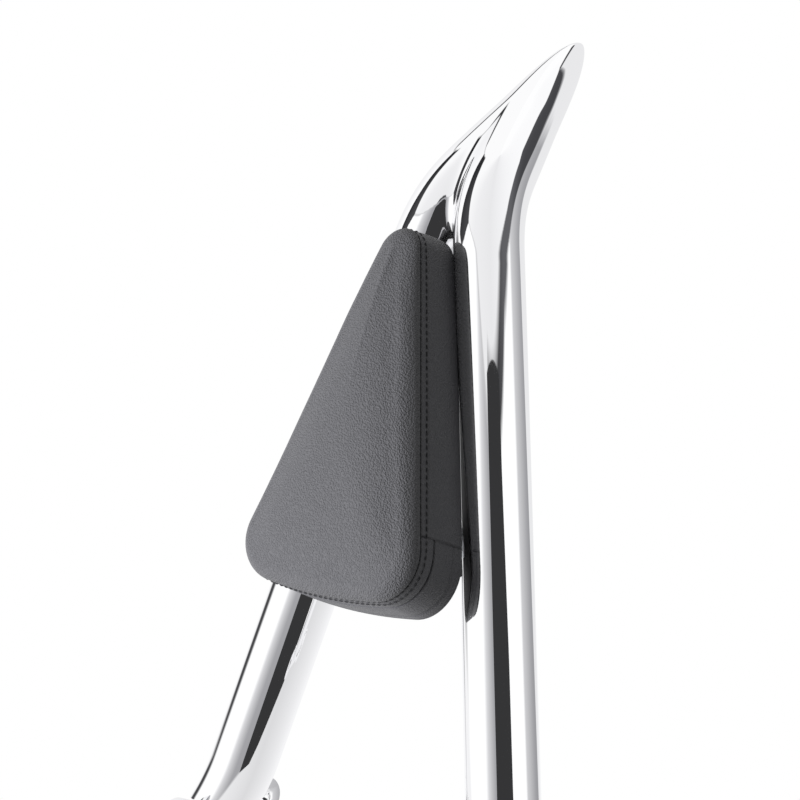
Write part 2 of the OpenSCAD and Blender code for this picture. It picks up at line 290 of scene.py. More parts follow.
def section_pt(q, c, f, joined):
    """A point of one side's section, at a share q of the way from the groove to the
    outer end. Its circle has the radius 1 and the middle c, its fillet the radius f."""
    h = math.sqrt(max((1 + f) ** 2 - c * c, f * f)) if joined else 0
    turn = math.acos(max(-1, min(1, -c / (1 + f)))) if joined else math.pi
    fillet_len = f * (math.pi / 2 - math.atan2(h, c)) if joined else 0
    d = q * (fillet_len + turn)
    if d < fillet_len:
        return f * math.cos(d / f - math.pi / 2), h + f * math.sin(d / f - math.pi / 2)
    a = turn - (d - fillet_len)
    return c + math.cos(a), math.sin(a)


# Points in a ring round one side
RING_N = 96
# The least half width of a section, at the very tip
LEAST_HALF = 0.02
# The way above the crotch over which the fillet grows by a side's half width
FILLET_WAY = 100


def bar_point(s, k, side, joined):
    """Point k of the ring at s along the path: the first half of a ring is in front."""
    c = half_gap(s)
    rx = max(half_width(s) - c, LEAST_HALF)
    rw = max(half_depth(s), LEAST_HALF)
    f = first_fillet() + max(0, s - CROTCH_S) / FILLET_WAY
    front = k <= RING_N / 2
    q = k / (RING_N / 2) if front else (RING_N - k) / (RING_N / 2)
    px, pw = section_pt(q, c / rx, f, joined)
    w = (-1 if front else 1) * pw * rw
    lean = lean_at(s)
    y, z = path_at(s)
    return side * px * rx, y + w * math.cos(lean), z - w * math.sin(lean)


# Steps between the bar's rings where it bends, and in the groove over the crotch
BEND_STEP = 1.5
GROOVE_STEP = 0.6
GROOVE_LEN = 70
BEND_LEAD = 20


def bar_stations():
    """Places of the rings along the path, below and above the crotch. They close up
    at the crotch and at the tip, where the shape changes fastest."""
    below = list(np.linspace(0, FOOT_CURVE_LEN, 14)[:-1])
    below += list(np.linspace(FOOT_CURVE_LEN, LEG_LEN - BEND_LEAD, 24)[:-1])
    below += list(np.arange(LEG_LEN - BEND_LEAD, CROTCH_S - 6, BEND_STEP))
    below += [CROTCH_S - d for d in (5, 4, 3, 2.2, 1.5, 0.9, 0.4)]
    above = [CROTCH_S] + [CROTCH_S + d for d in (0.4, 1, 1.8, 2.8, 4)]
    above += list(np.arange(CROTCH_S + 4.5, CROTCH_S + GROOVE_LEN, GROOVE_STEP))
    above += list(np.arange(CROTCH_S + GROOVE_LEN + 1, PATH_LEN - 14, BEND_STEP))
    above += [PATH_LEN - d for d in np.geomspace(13, LEAST_HALF, 26)]
    return below, above


def bar_body(verts, faces):
    """The skin of both legs and the tip. Below the crotch each leg's ring is closed,
    and above it the two sides share the points on the part's middle."""
    below, above = bar_stations()
    stations = below + above
    first_joined = len(below)
    ids = {}

    def point_id(i, k, half):
        kk = 0 if k == RING_N and i <= first_joined else k
        hh = 0 if i >= first_joined and kk in (0, RING_N) else half
        key = (i, kk, hh)
        if key not in ids:
            ids[key] = len(verts)
            side = 1 if hh == 0 else -1
            verts.append(bar_point(stations[i], kk, side, i >= first_joined))
        return ids[key]

    for i in range(len(stations) - 1):
        for k in range(RING_N):
            for half in (0, 1):
                quad = [point_id(i, k, half), point_id(i, k + 1, half),
                        point_id(i + 1, k + 1, half), point_id(i + 1, k, half)]
                quad = list(dict.fromkeys(quad))
                faces.append(quad if half else quad[::-1])
    for half in (0, 1):
        faces.append([point_id(0, k, half) for k in range(RING_N)])
    last = len(stations) - 1
    faces.append([point_id(last, k, 1) for k in range(RING_N + 1)]
                 + [point_id(last, k, 0) for k in range(RING_N - 1, 0, -1)])


BORE_SIDES = 64
# How far the plates' edges are broken
EDGE_BREAK = 0.7


def extruded(name, outline, thickness, holes, place):
    """A plate from an outline, with round holes, its edges softly broken. place
    turns a point (u, v, depth) of the plate into a point of the part."""
    bm = bmesh.new()
    rim = [bm.verts.new((u, v, 0)) for u, v in outline]
    face = bm.faces.new(rim)
    top = bmesh.ops.extrude_face_region(bm, geom=[face])["geom"]
    for v in top:
        if isinstance(v, bmesh.types.BMVert):
            v.co.z += thickness
    bmesh.ops.recalc_face_normals(bm, faces=bm.faces)
    mesh = bpy.data.meshes.new(name)
    bm.to_mesh(mesh)
    bm.free()
    obj = bpy.data.objects.new(name, mesh)
    bpy.context.scene.collection.objects.link(obj)
    cutters = []
    for u, v, radius in holes:
        bpy.ops.mesh.primitive_cylinder_add(
            vertices=BORE_SIDES, radius=radius, depth=4 * thickness, location=(u, v, 0)
        )
        cutter = bpy.context.object
        mod = obj.modifiers.new("bore", "BOOLEAN")
        mod.object = cutter
        mod.operation = "DIFFERENCE"
        mod.solver = "EXACT"
        cutters.append(cutter)
    mod = obj.modifiers.new("edges", "BEVEL")
    mod.width = EDGE_BREAK
    mod.segments = 3
    mod.limit_method = "ANGLE"
    mod.angle_limit = math.radians(40)
    bpy.context.view_layer.update()
    done = bpy.data.meshes.new_from_object(obj.evaluated_get(bpy.context.evaluated_depsgraph_get()))
    verts = [place(*v.co) for v in done.vertices]
    faces = [list(p.vertices) for p in done.polygons]
    for extra in cutters + [obj]:
        bpy.data.objects.remove(extra)
    return verts, faces


# Straight pieces in the round of a foot plate's end
LUG_STEPS = 48


def foot_plate(side):
    """A flat plate round both bolt holes."""
    pts = []
    neck = math.asin(FOOT_NECK_H / 2 / FOOT_LUG_R)
    for centre, start in ((0.0, neck - math.pi), (-BOLT_SPACING, neck)):
        for k in range(LUG_STEPS + 1):
            a = start + 2 * (math.pi - neck) * k / LUG_STEPS
            pts.append((centre + FOOT_LUG_R * math.cos(a), FOOT_LUG_R * math.sin(a)))
    x = side * half_gap(0) - FOOT_PLATE_T / 2
    bores = [(0, 0, BOLT_HOLE_D / 2), (-BOLT_SPACING, 0, BOLT_HOLE_D / 2)]
    return extruded("plate", pts, FOOT_PLATE_T, bores, lambda u, v, d: (x + d, u, v))


# The pad's own frame: x across, w from the crown to the back, v up its face. The
# back leans less than the face, so that the pad is thickest below.
pad_turn = math.radians(PAD_LEAN)
back_turn = math.radians(PAD_LEAN - PAD_WEDGE)
wedge = math.radians(PAD_WEDGE)
sweep_y, sweep_z = path_at(LEG_LEN)
nest_y = sweep_y - TUBE_R * math.cos(math.radians(LEG_LEAN))
nest_z = sweep_z + TUBE_R * math.sin(math.radians(LEG_LEAN))
PAD_Z = nest_z - PAD_DROP
PAD_Y = nest_y - (
    (PAD_T - PAD_NEST) * math.cos(wedge) + PAD_DROP * math.sin(back_turn)
) / math.cos(back_turn)
BACK_Y = PAD_Y + PAD_T * math.cos(pad_turn)
BACK_Z = PAD_Z - PAD_T * math.sin(pad_turn)
nest_v = (nest_y - BACK_Y) * math.sin(back_turn) + (nest_z - BACK_Z) * math.cos(back_turn)
lean_gap = math.radians(PAD_LEAN - PAD_WEDGE - LEG_LEAN)


def from_pad(x, w, v):
    """A point of the pad's frame in the part's."""
    return (
        x,
        PAD_Y + w * math.cos(pad_turn) + v * math.sin(pad_turn),
        PAD_Z - w * math.sin(pad_turn) + v * math.cos(pad_turn),
    )


def from_back(x, e, v):
    """e is the distance behind the pad's back."""
    return (
        x,
        BACK_Y + e * math.cos(back_turn) + v * math.sin(back_turn),
        BACK_Z - e * math.sin(back_turn) + v * math.cos(back_turn),
    )


def strap(v, holes):
    """A flat strap between the legs' middles, bored for the pad's screws."""
    reach = half_gap(LEG_LEN - (nest_v - v) / math.cos(lean_gap))
    front = TOP_SPACER_LEN + (TOP_SCREW_V - v) * math.tan(lean_gap)
    corners = [(-reach, v - STRAP_H / 2), (reach, v - STRAP_H / 2),
               (reach, v + STRAP_H / 2), (-reach, v + STRAP_H / 2)]
    bores = [(x, v, SCREW_HOLE_D / 2) for x in holes]
    return extruded("strap", corners, STRAP_T, bores,
                    lambda x, up, d: from_back(x, front + d, up))


SEAT_SIDES = 96
# How far the seat for the bike's strut reaches past the plate's edge
SEAT_OVER = 0.5


def seated(body):
    """Cuts the legs' ends flush with the plates' inner faces, for the bike's strut."""
    for side in (1, -1):
        inner = side * (half_gap(0) - FOOT_PLATE_T / 2 - TUBE_D / 2) / PER_METRE
        top = FOOT_NECK_H / 2 + SEAT_OVER
        bpy.ops.mesh.primitive_cube_add(size=1, location=(
            inner, -BOLT_SPACING / 2 / PER_METRE, (top - FOOT_LUG_R) / PER_METRE))
        cutters = [bpy.context.object]
        cutters[0].scale = (TUBE_D / PER_METRE, BOLT_SPACING / PER_METRE,
                            2 * FOOT_LUG_R / PER_METRE)
        for y in (0, -BOLT_SPACING):
            bpy.ops.mesh.primitive_cylinder_add(
                vertices=SEAT_SIDES, radius=(FOOT_LUG_R + SEAT_OVER) / PER_METRE,
                depth=TUBE_D / PER_METRE, location=(inner, y / PER_METRE, 0),
                rotation=(0, math.pi / 2, 0))
            cutters.append(bpy.context.object)
        for cutter in cutters:
            mod = body.modifiers.new("seat", "BOOLEAN")
            mod.object = cutter
            mod.solver = "EXACT"
            bpy.context.view_layer.update()
            done = bpy.data.meshes.new_from_object(
                body.evaluated_get(bpy.context.evaluated_depsgraph_get()))
            body.modifiers.clear()
            body.data = done
            bpy.data.objects.remove(cutter)


# Edges of the bar that turn by more degrees than this are sharp
SHARP_TURN = 50


def bar():
    """The chromed bar: legs and tip, foot plates and straps, in one piece."""
    verts, faces = [], []
    bar_body(verts, faces)
    obj = to_object("chromed_bar", verts, faces)
    seated(obj)
    verts, faces = [], []
    gap = LOW_SCREW_GAP / 2
    for part in (foot_plate(1), foot_plate(-1), strap(LOW_SCREW_V, (-gap, gap)),
                 strap(TOP_SCREW_V, (0,))):
        start = len(verts)
        verts += part[0]
        faces += [[i + start for i in f] for f in part[1]]
    plates = to_object("plates", verts, faces)
    bm = bmesh.new()
    bm.from_mesh(obj.data)
    bm.from_mesh(plates.data)
    bm.to_mesh(obj.data)
    bm.free()
    bpy.data.objects.remove(plates)
    sharpen(obj, SHARP_TURN)
    obj.data.materials.clear()
    obj.data.materials.append(chrome_material())
    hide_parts("bar")
    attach(obj, "root")


# The pad

corner_x = PAD_W / 2 - PAD_CORNER_R
side_run = PAD_H - PAD_TOP_R - PAD_CORNER_R
side_turn = math.atan2(corner_x, side_run) + math.asin(
    (PAD_CORNER_R - PAD_TOP_R) / math.hypot(corner_x, side_run)
)
bow_v = PAD_CORNER_R + (corner_x**2 - PAD_BULGE**2) / (2 * PAD_BULGE)
bow_r = bow_v + PAD_BULGE
bow_turn = math.atan2(corner_x, bow_v - PAD_CORNER_R)

STITCH_PITCH = 4.5
SEAM_W = BORDER_D
TOPSTITCH_W = SEAM_W + 4.5
FOLD_W = (SEAM_W + 10.9, SEAM_W + 28.6)
# Steps along the pad's outline, the fewest steps of an arc, the length over which a
# straight run is divided, and how far each side of the cross seam it closes up
RIM_STEP = 1.1
FEWEST_STEPS = 8
LONG_RUN = 3
CROSS_SEAM_REACH = 2
CROSS_SEAM_MARKS = 13


def outline():
    """Points of the pad's outline from the lower right corner round over the top,
    each with its outward normal, and the length run so far."""
    quarter = math.pi / 2
    arcs = [
        (corner_x, PAD_CORNER_R, PAD_CORNER_R, bow_turn - quarter, side_turn),
        (0, PAD_H - PAD_TOP_R, PAD_TOP_R, side_turn, math.pi - side_turn),
        (-corner_x, PAD_CORNER_R, PAD_CORNER_R, math.pi - side_turn, 3 * quarter - bow_turn),
        (0, bow_v, bow_r, 3 * quarter - bow_turn, 3 * quarter + bow_turn),
    ]
    pts = []
    for cx, cv, r, a0, a1 in arcs:
        count = max(FEWEST_STEPS, round(abs(a1 - a0) * r / RIM_STEP))
        for k in range(count + 1):
            a = a0 + (a1 - a0) * k / count
            pts.append((cx + r * math.cos(a), cv + r * math.sin(a), math.cos(a), math.sin(a)))
    dense = []
    for p, q in zip(pts, pts[1:] + pts[:1]):
        run = math.hypot(q[0] - p[0], q[1] - p[1])
        if run < 1e-6:
            continue
        if run < LONG_RUN:
            dense.append(p)
            continue
        steps = round(run / RIM_STEP)
        marks = {0.0} | set(np.arange(1, steps) / steps)
        at_seam = (CROSS_SEAM_H - p[1]) / (q[1] - p[1])
        marks = {m for m in marks if abs(m - at_seam) * run > 1.1 * CROSS_SEAM_REACH}
        close = np.linspace(-CROSS_SEAM_REACH, CROSS_SEAM_REACH, CROSS_SEAM_MARKS)
        marks |= {at_seam + d / run for d in close}
        for m in sorted(marks):
            dense.append((p[0] + (q[0] - p[0]) * m, p[1] + (q[1] - p[1]) * m, p[2], p[3]))
    dense = np.array(dense)
    step = np.hypot(*(np.roll(dense[:, :2], -1, axis=0) - dense[:, :2]).T)
    return dense, np.concatenate([[0], np.cumsum(step)])


def side_end_at(v):
    """Depth of the cover's rear edge, which is the rear panel's front."""
    return PAD_T - REAR_PANEL_T / math.cos(wedge) - v * math.tan(wedge)


RIM, RUN = outline()
# Whether a point of the outline is in the bottom gusset
LOW = RIM[:, 1] < CROSS_SEAM_H - 0.01
# Length of the pad's upper end, over which the face falls back and its edge rounds
# off more
TOP_END = 60
# How far in from the outline the front's rounded edge begins
CROWN_REACH = 10 + 4 * np.clip(1 - (PAD_H - RIM[:, 1]) / TOP_END, 0, 1)
# How much further back the face lies at its outline than in its middle
CROWN_RISE = 6.0
# How far the face falls back at its top end
TOP_FALL = 3.5
MIDDLE = np.array([0.0, PAD_H * 0.42])
# Depth of the cover's rear edge, at each point of the outline, and of the rolled
# edge round the rear panel, which stands out most halfway up
SIDE_END = side_end_at(RIM[:, 1])
WELT_SWELL = 1.5
WELT_END = SIDE_END + REAR_PANEL_T + WELT_SWELL * np.sin(
    math.pi * np.clip(RIM[:, 1] / PAD_H, 0, 1))
# How far the side wall stands in at its ends, and how far it bulges, in the side
# gusset and in the bottom one
SIDE_INSET = 0.35
SIDE_BULGE = 1.3
LOW_BULGE = 0.4
# How deep the seams, the stitches' dimples and the folds are
SEAM_DEPTH = 1.1
SEAM_SLOPE = 0.35
STITCH_DEPTH = 0.28
STITCH_DIMPLE = 0.14
FOLD_DEPTH = 1.3
CROSS_SEAM_DEPTH = 0.9
# How much higher the face's lower end lies than the back's, how much lower its upper
# end, and the lengths over which that fades
FACE_LIFT = 3.6
FACE_LIFT_LEN = 80
FACE_DROP = 0.8
FACE_DROP_LEN = 50
# How far the front's edge turns in at the seam
TUCK = 0.8


def bell(x, width):
    """A bump of height 1 at 0."""
    return np.exp(-((x / width) ** 2))


def side_inset(w):
    """How far the side wall stands in from the outline, all the way round."""
    u = np.clip((w - SEAM_W) / (WELT_END - SEAM_W), 0, 1)
    bulge = np.where(LOW, LOW_BULGE, SIDE_BULGE) * np.sin(math.pi * 0.85 * u**1.3)
    inset = SIDE_INSET - bulge
    inset += SEAM_DEPTH * bell(w - SEAM_W, 0.45) + SEAM_SLOPE * bell(w - SEAM_W, 1.6)
    stitch = np.cos(2 * math.pi * RUN[:-1] / STITCH_PITCH)
    inset += (STITCH_DEPTH + STITCH_DIMPLE * stitch) * bell(w - TOPSTITCH_W, 0.7)
    for fold in FOLD_W:
        inset += np.where(LOW, FOLD_DEPTH, 0.0) * bell(w - fold, 0.5)
    inset += CROSS_SEAM_DEPTH * bell(RIM[:, 1] - CROSS_SEAM_H, 0.5)
    return inset


def ring(inset, w):
    """A ring of points (x, w, v) at an inset from the outline."""
    pts = RIM[:, :2] - RIM[:, 2:] * np.reshape(inset, (-1, 1))
    return np.column_stack([pts[:, 0], np.broadcast_to(w, len(RIM)), pts[:, 1]])


def dressed(p):
    """The face is shorter than the back: its lower edge lies higher, its top lower."""
    x, w, v = p
    end = side_end_at(v)
    face = clamp01((end - w) / (end - SEAM_W))
    low = clamp01(1 - v / FACE_LIFT_LEN) ** 2
    high = clamp01(1 - (PAD_H - v) / FACE_DROP_LEN) ** 2
    return x, w, v + face * (FACE_LIFT * low - FACE_DROP * high)


def domed(pts, drop):
    """Gives a ring of the front panel its depth: a dome from the middle to the
    outline, and over it the rounded edge's share of the fall to the seam."""
    rim = ring(SIDE_INSET, 0)
    reach = np.hypot(rim[:, 0] - MIDDLE[0], rim[:, 2] - MIDDLE[1])
    out = np.hypot(pts[:, 0] - MIDDLE[0], pts[:, 2] - MIDDLE[1]) / reach
    top = np.clip(1 - (PAD_H - pts[:, 2]) / TOP_END, 0, 1) ** 2
    face = CROWN_RISE * out**2 + TOP_FALL * top
    pts[:, 1] = face + (SEAM_W - TUCK - face) * drop
    return pts


def crown_rings(count):
    """The rounded edge, from the face out to the seam."""
    rings = []
    for a in np.linspace(0, math.pi / 2, count):
        inset = SIDE_INSET + (CROWN_REACH - SIDE_INSET) * (1 - math.sin(a))
        rings.append(domed(ring(inset, 0), 1 - math.cos(a)))
    return rings


def front_rings():
    """The front panel, from the middle out to the seam."""
    rings = []
    edge = ring(CROWN_REACH + 0.5, 0)
    for t in np.linspace(0.985, 0.02, 34):
        pts = edge.copy()
        pts[:, 0] += (MIDDLE[0] - pts[:, 0]) * t
        pts[:, 2] += (MIDDLE[1] - pts[:, 2]) * t
        rings.append(domed(pts, 0))
    rings += crown_rings(26)
    for inset, back in ((0.55, 0.5), (0.9, 0.25), (1.5, 0.05)):
        rings.append(ring(inset, SEAM_W - back))
    return rings


def side_rings():
    """The side wall from the seam to the edge turned behind the board."""
    depths = list(np.arange(SEAM_W, SEAM_W + 1.8, 0.22))
    depths += list(np.arange(SEAM_W + 2.2, TOPSTITCH_W + 1.6, 0.3))
    for fold in FOLD_W:
        depths += list(np.arange(depths[-1] + 1.1, fold - 1.2, 1.1))
        depths += list(np.arange(fold - 1.0, fold + 1.01, 0.25))
    last = SIDE_END.min() - 2.5
    depths = [w for w in depths if w < last]
    rings = [ring(side_inset(w), w) for w in depths]
    for share in np.linspace(0.1, 1, 9):
        w = depths[-1] + (WELT_END - 1.6 - depths[-1]) * share
        rings.append(ring(side_inset(w), w))
    for inset, back in ((-0.1, 1.0), (0.15, 0.5), (0.7, 0.12), (1.5, 0), (2.5, 0.6)):
        rings.append(ring(inset, WELT_END - back))
    for inset in (3.4, 3.8, 9, TURN_W):
        rings.append(ring(inset, SIDE_END + 0.4))
    return rings


def cushion_rings():
    """The stuffed body that is blown up: the front, sides and flat back."""
    edge = ring(CROWN_REACH + 0.5, 0)
    rings = []
    for t in (0.98, 0.8, 0.6, 0.4, 0.2):
        pts = edge.copy()
        pts[:, 0] += (MIDDLE[0] - pts[:, 0]) * t
        pts[:, 2] += (MIDDLE[1] - pts[:, 2]) * t
        rings.append(domed(pts, 0))
    rings += crown_rings(7)
    rings += [ring(0.3, SEAM_W + (SIDE_END - SEAM_W) * u) for u in np.linspace(0.14, 1, 7)]
    return rings


def joined(rings, columns):
    """Quads between rings for a run of columns."""
    n = len(RIM)
    verts = [p for r in rings for p in r]
    faces = []
    for i in range(len(rings) - 1):
        for a in columns:
            b = (a + 1) % n
            faces.append([i * n + a, i * n + b, (i + 1) * n + b, (i + 1) * n + a])
    return verts, faces


# The cloth step: the cushion's mesh size in metres, its pressure, how stiff its cloth
# is and how long it blows. Its back is held, fading out over a way before it.
PUFF_GRID = 0.005
PUFF_PRESSURE = 4.0
PUFF_STIFFNESS = 25
PUFF_FRAMES = 20
HELD_START = 9
HELD_FADE = 6
# The most a point of the cover moves in it, and how far the moves are evened, a batch
# of points at a time
PUFF_CAP = 2.0
EVEN_REACH = 9.0
BATCH = 500
# The cover takes its moves from this many points of the cushion. The seams and the
# back edge hold it over these ways.
NEAREST = 12
NEAR_SOFT = 3
SEAM_SHARE = 0.15
SEAM_HOLD = 9
BACK_HOLD = 7


def puff_field():
    """Blows the cushion up with cloth pressure. Returns where its points lay and
    how far each one moved, in millimetres of the pad's frame."""
    rings = cushion_rings()
    verts, faces = joined(rings, range(len(RIM)))
    n = len(RIM)
    faces.append(list(range(n))[::-1])
    faces.append([(len(rings) - 1) * n + k for k in range(n)])
    body = to_object("cushion_blank", verts, faces)
    mod = body.modifiers.new("even", "REMESH")
    mod.mode = "VOXEL"
    mod.voxel_size = PUFF_GRID
    mesh = bpy.data.meshes.new_from_object(
        body.evaluated_get(bpy.context.evaluated_depsgraph_get()))
    body.modifiers.clear()
    body.data = mesh
    rest = np.array([v.co for v in mesh.vertices]) * PER_METRE
    held = body.vertex_groups.new(name="held")
    for i, p in enumerate(rest):
        pinned = clamp01((p[1] - (side_end_at(p[2]) - HELD_START)) / HELD_FADE)
        if pinned > 0:
            held.add([i], pinned, "REPLACE")
    cloth = body.modifiers.new("stuffing", "CLOTH")
    cloth.settings.use_pressure = True
    cloth.settings.uniform_pressure_force = PUFF_PRESSURE
    cloth.settings.effector_weights.gravity = 0
    cloth.settings.vertex_group_mass = "held"
    cloth.settings.tension_stiffness = PUFF_STIFFNESS
    cloth.settings.compression_stiffness = PUFF_STIFFNESS
    scene = bpy.context.scene
    for f in range(1, PUFF_FRAMES + 1):
        scene.frame_set(f)
    moved = np.array([v.co for v in body.evaluated_get(
        bpy.context.evaluated_depsgraph_get()).data.vertices]) * PER_METRE
    scene.frame_set(1)
    bpy.data.objects.remove(body)
    shift = moved - rest
    length = np.linalg.norm(shift, axis=1, keepdims=True)
    shift *= np.minimum(1, PUFF_CAP / np.maximum(length, 1e-9))
    return rest, evened(rest, shift)


def evened(rest, shift):
    """Averages the moves over the neighbourhood, so that no crease of the coarse
    mesh shows in the cover."""
    out = np.empty_like(shift)
    for start in range(0, len(rest), BATCH):
        part = rest[start : start + BATCH]
        gap = ((part[:, None, :] - rest[None, :, :]) ** 2).sum(2)
        weight = np.exp(-gap / (2 * EVEN_REACH**2))
        out[start : start + BATCH] = weight @ shift / weight.sum(1, keepdims=True)
    return out


def puffed(verts, field):
    """Moves the cover's points with the blown-up cushion, but for the seams."""
    if field is None:
        return verts
    rest, shift = field
    tree = KDTree(len(rest))
    for i, p in enumerate(rest):
        tree.insert(p, i)
    tree.balance()
    out = []
    for p in verts:
        near = tree.find_n(p, NEAREST)
        weight = np.array([1 / (d + NEAR_SOFT) ** 2 for _, _, d in near])
        move = (shift[[i for _, i, _ in near]] * weight[:, None]).sum(0) / weight.sum()
        seam = min(1, SEAM_SHARE + abs(p[1] - SEAM_W) / SEAM_HOLD)
        back = clamp01((side_end_at(p[2]) - p[1]) / BACK_HOLD)
        out.append(np.asarray(p) + move * ease(seam) * back)
    return out


def panel(name, rings, columns, field, cap, node_names, material):
    """One leather panel between seams. A cap closes the middle of the front."""
    verts, faces = joined(rings, columns)
    used = sorted({i for f in faces for i in f})
    number = {old: new for new, old in enumerate(used)}
    faces = [[number[i] for i in f] for f in faces]
    verts = [verts[i] for i in used]
    if cap:
        n = len(RIM)
        faces.append([number[k] for k in range(n)][::-1])
    verts = puffed(verts, field)
    obj = to_object(name, [from_pad(*dressed(v)) for v in verts], faces)
    obj.data.materials.append(material)
    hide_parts(*node_names)
    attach(obj, "root")
    return obj


def outline_at(run):
    """The outline's point and normal after a length run along it."""
    run = run % RUN[-1]
    closed = np.vstack([RIM, RIM[:1]])
    return [float(np.interp(run, RUN, closed[:, k])) for k in range(4)]


# A stitch's rings and sides, its half length as a share of the pitch, how far its
# middle is lifted in radii, and how thick its ends stay
STITCH_RINGS = 7
STITCH_SIDES = 8
STITCH_SHARE = 0.36
STITCH_LIFT = 0.9
STITCH_END = 0.02


def stitch_row(verts, faces, w, inset, radius):
    """Thread stitches along the outline at one depth, as small round-ended rods."""
    count = round(RUN[-1] / STITCH_PITCH)
    pitch = RUN[-1] / count
    turns = [a * math.pi * 2 / STITCH_SIDES for a in range(STITCH_SIDES)]
    for k in range(count):
        centre = (k + 0.5) * pitch
        start = len(verts)
        for j in range(STITCH_RINGS):
            u = 2 * j / (STITCH_RINGS - 1) - 1
            x, v, nx, nv = outline_at(centre + u * pitch * STITCH_SHARE)
            size = radius * math.sqrt(max(1 - u**4, STITCH_END))
            lift = radius * STITCH_LIFT * (1 - u * u) - inset
            for turn in turns:
                out = lift + size * math.cos(turn)
                verts.append((x + nx * out, w + size * math.sin(turn), v + nv * out))
        for j in range(STITCH_RINGS - 1):
            low = start + j * STITCH_SIDES
            high = low + STITCH_SIDES
            for a in range(STITCH_SIDES):
                b = (a + 1) % STITCH_SIDES
                faces.append([low + a, low + b, high + b, high + a])
        faces.append([start + a for a in range(STITCH_SIDES)])
        last = start + (STITCH_RINGS - 1) * STITCH_SIDES
        faces.append([last + a for a in range(STITCH_SIDES)][::-1])


def cross_seam_column(side):
    """The outline's point at the cross seam, on the right (1) or the left (-1)."""
    away = np.where(RIM[:, 0] * side > 0, abs(RIM[:, 1] - CROSS_SEAM_H), PAD_H)
    return int(np.argmin(away))


def pad():
    """The pad's cover: front panel, side gusset, bottom gusset and stitching."""
    field = puff_field()
    n = len(RIM)
    first_up = cross_seam_column(1)
    last_up = cross_seam_column(-1)
    # The front and the gussets are one leather in two tones. The front's lighter tone paints the
    # light falling on it, and the gussets' darker tone paints the shade on the sides turned away
    # from the light.
    front = leather_material("black_leather_painted_lit_front", "2a2a2c", 1.15, 0.45)
    side = leather_material("black_leather_painted_shaded_side", "262629", 1.15, 0.22)
    face = panel("pad_front_panel", front_rings(), range(n), field, True,
                 ["cover_face", "foam_core"], front)
    panel("pad_side_gusset", side_rings(), range(first_up, last_up), field, False,
          ["cover_gusset"], side)
    panel("pad_bottom_gusset", side_rings(), [k % n for k in range(last_up, first_up + n)],
          field, False, ["cover_bottom"], side)
    verts, faces = [], []
    stitch_row(verts, faces, TOPSTITCH_W, inset=0.2, radius=0.38)
    stitch_row(verts, faces, SEAM_W + 0.1, inset=0.7, radius=0.42)
    verts = puffed(verts, field)
    thread = to_object("pad_stitching", [from_pad(*dressed(v)) for v in verts], faces)
    thread.data.materials.append(plain_material("black_thread", "141416", 0.0, 0.6))
    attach(thread, "root")


# The studio

VIEW_AZIMUTH = 45.0
VIEW_ELEVATION = 5.729
VIEW_DISTANCE = 1.131549
VIEW_TARGET = Vector((0.0141, -0.0082, 0.280))
az, el = math.radians(VIEW_AZIMUTH), math.radians(VIEW_ELEVATION)
TO_CAMERA = Vector((math.sin(az) * math.cos(el), -math.cos(az) * math.cos(el), math.sin(el)))


def camera():
    """The photo's camera, in front on the right and a little above."""
    data = bpy.data.cameras.new("photo_camera")
    data.lens = 84.081
    data.sensor_width = 36.0
    data.clip_start = 0.01
    cam = bpy.data.objects.new("photo_camera", data)
    bpy.context.scene.collection.objects.link(cam)
    cam.location = VIEW_TARGET + TO_CAMERA * VIEW_DISTANCE
    cam.rotation_euler = (-TO_CAMERA).to_track_quat("-Z", "Y").to_euler()
    bpy.context.scene.camera = cam


def profile(tree, value, points):
    """A curve through corners, given as shares of their ranges."""
    n = node(tree, "ShaderNodeFloatCurve", Value=value)
    curve = n.mapping.curves[0]
    while len(curve.points) < len(points):
        curve.points.new(0.5, 0.5)
    for dot, corner in zip(curve.points, points):
        dot.location = corner
        dot.handle_type = "VECTOR"
    n.mapping.update()
    return n.outputs[0]


def azimuth(degrees):
    """An azimuth as a share of the full turn, with the camera's side in the middle."""
    return degrees / 360 + 0.5


def height_angle(degrees):
    """A height as a share of the way from straight down to straight up."""
    return degrees / 180 + 0.5


def skyline(tree, share, corners):
    """The height of an edge over the azimuth, from (azimuth, height) in degrees."""
    return profile(tree, share, [(azimuth(a), height_angle(h)) for a, h in corners])


def window(tree, value, start, end, soft):
    """1 between two shares, 0 outside, with steps that are soft each way."""
    mask = None
    for edge, sign in ((start, 1), (end, -1)):
        over = node(tree, "ShaderNodeMath", {"operation": "SUBTRACT"}, i0=value, i1=edge)
        step = node(tree, "ShaderNodeMapRange", Value=over.outputs[0],
                    **{"From Min": -soft * sign, "From Max": soft * sign}).outputs["Result"]
        mask = step if mask is None else node(
            tree, "ShaderNodeMath", {"operation": "MULTIPLY"}, i0=mask, i1=step).outputs[0]
    return mask


def ramp_of(tree, share, stops):
    """A colour for each azimuth, from (degrees, hex tone, strength)."""
    n = node(tree, "ShaderNodeValToRGB", Fac=share)
    while len(n.color_ramp.elements) < len(stops):
        n.color_ramp.elements.new(0.5)
    for element, (degrees, tone, strength) in zip(n.color_ramp.elements, stops):
        element.position = azimuth(degrees)
        element.color = (*[c * strength for c in linear(tone)[:3]], 1)
    return n.outputs["Color"]


def past(tree, value, edge, soft):
    """1 where value is over edge, 0 below, with a step each way of soft degrees of
    height, which are twice as many of azimuth."""
    over = node(tree, "ShaderNodeMath", {"operation": "SUBTRACT"}, i0=value, i1=edge)
    return node(tree, "ShaderNodeMapRange", Value=over.outputs[0],
                **{"From Min": -soft / 180, "From Max": soft / 180}).outputs["Result"]


def blend(tree, share, under, over):
    """Lays one colour over another by a share."""
    return node(tree, "ShaderNodeMix", {"data_type": "RGBA"}, i0=share, i6=under,
                i7=over).outputs[2]


